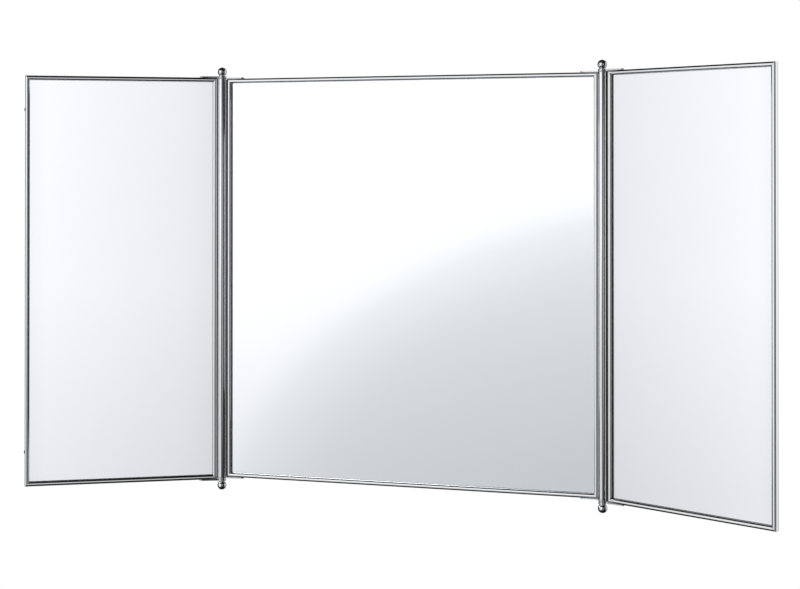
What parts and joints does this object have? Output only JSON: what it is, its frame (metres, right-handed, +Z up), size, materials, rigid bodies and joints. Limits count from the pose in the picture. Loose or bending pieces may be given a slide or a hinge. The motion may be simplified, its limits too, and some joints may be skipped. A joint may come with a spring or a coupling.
{
  "type": "folding wall mirror",
  "caption": "Wall mirror with a square centre pane and hinged side wings in slim half-round chrome frames, joined by tube hinges with ball ends.",
  "frame": {"origin": "on the wall, at the middle of the back of the centre panel's board", "axes": "+Y into the wall, -Y the way the mirror faces, +X the viewer's right, +Z up"},
  "size_m": [1.0862, 0.1683, 0.6304],
  "materials": {
    "frame_chrome": "bright chrome plate on half-round channel",
    "hinge_chrome": "bright chrome plate on turned and stamped hinge pieces",
    "mirror_pane": "silvered float glass with ground edges",
    "back_board": "tempered hardboard, smooth face out",
    "hanger_steel": "zinc-plated stamped steel",
    "screw_steel": "nickel-plated steel screws",
    "rod_steel": "drawn steel rod"
  },
  "bodies": {
    "centre_panel": {"centre_top_rail": "frame_chrome", "centre_bottom_rail": "frame_chrome", "centre_left_stile": "frame_chrome", "centre_right_stile": "frame_chrome", "centre_mirror_glass": "mirror_pane", "centre_back_board": "back_board", "left_keyhole_plate": "hanger_steel", "left_keyhole_upper_screw": "hanger_steel", "left_keyhole_lower_screw": "hanger_steel", "right_keyhole_plate": "hanger_steel", "right_keyhole_upper_screw": "hanger_steel", "right_keyhole_lower_screw": "hanger_steel", "left_hinge_tube": "hinge_chrome", "left_hinge_tie_rod": "rod_steel", "left_hinge_top_finial": "hinge_chrome", "left_hinge_bottom_finial": "hinge_chrome", "left_hinge_bottom_spacer": "hinge_chrome", "left_hinge_top_fixed_plate": "hinge_chrome", "left_hinge_top_fixed_screw": "screw_steel", "left_hinge_bottom_fixed_plate": "hinge_chrome", "left_hinge_bottom_fixed_screw": "screw_steel", "right_hinge_tube": "hinge_chrome", "right_hinge_tie_rod": "rod_steel", "right_hinge_top_finial": "hinge_chrome", "right_hinge_bottom_finial": "hinge_chrome", "right_hinge_bottom_spacer": "hinge_chrome", "right_hinge_top_fixed_plate": "hinge_chrome", "right_hinge_top_fixed_screw": "screw_steel", "right_hinge_bottom_fixed_plate": "hinge_chrome", "right_hinge_bottom_fixed_screw": "screw_steel"},
    "left_wing": {"left_wing_top_rail": "frame_chrome", "left_wing_bottom_rail": "frame_chrome", "left_wing_left_stile": "frame_chrome", "left_wing_right_stile": "frame_chrome", "left_wing_mirror_glass": "mirror_pane", "left_wing_back_board": "back_board", "left_hinge_top_wing_plate": "hinge_chrome", "left_hinge_top_wing_screw": "screw_steel", "left_hinge_bottom_wing_plate": "hinge_chrome", "left_hinge_bottom_wing_screw": "screw_steel", "left_wing_upper_edge_screw": "screw_steel", "left_wing_lower_edge_screw": "screw_steel"},
    "right_wing": {"right_wing_top_rail": "frame_chrome", "right_wing_bottom_rail": "frame_chrome", "right_wing_left_stile": "frame_chrome", "right_wing_right_stile": "frame_chrome", "right_wing_mirror_glass": "mirror_pane", "right_wing_back_board": "back_board", "right_hinge_top_wing_plate": "hinge_chrome", "right_hinge_top_wing_screw": "screw_steel", "right_hinge_bottom_wing_plate": "hinge_chrome", "right_hinge_bottom_wing_screw": "screw_steel"}
  },
  "joints": [
    {"name": "left_wing_hinge", "type": "hinge", "parent": "centre_panel", "child": "left_wing", "pos_m": [-0.2896, -0.0148, 0], "axis": [0, 0, 1], "range_deg": [-32.6, 147.4]},
    {"name": "right_wing_hinge", "type": "hinge", "parent": "centre_panel", "child": "right_wing", "pos_m": [0.2896, -0.0148, 0], "axis": [0, 0, -1], "range_deg": [-28.4, 151.6]}
  ]
}
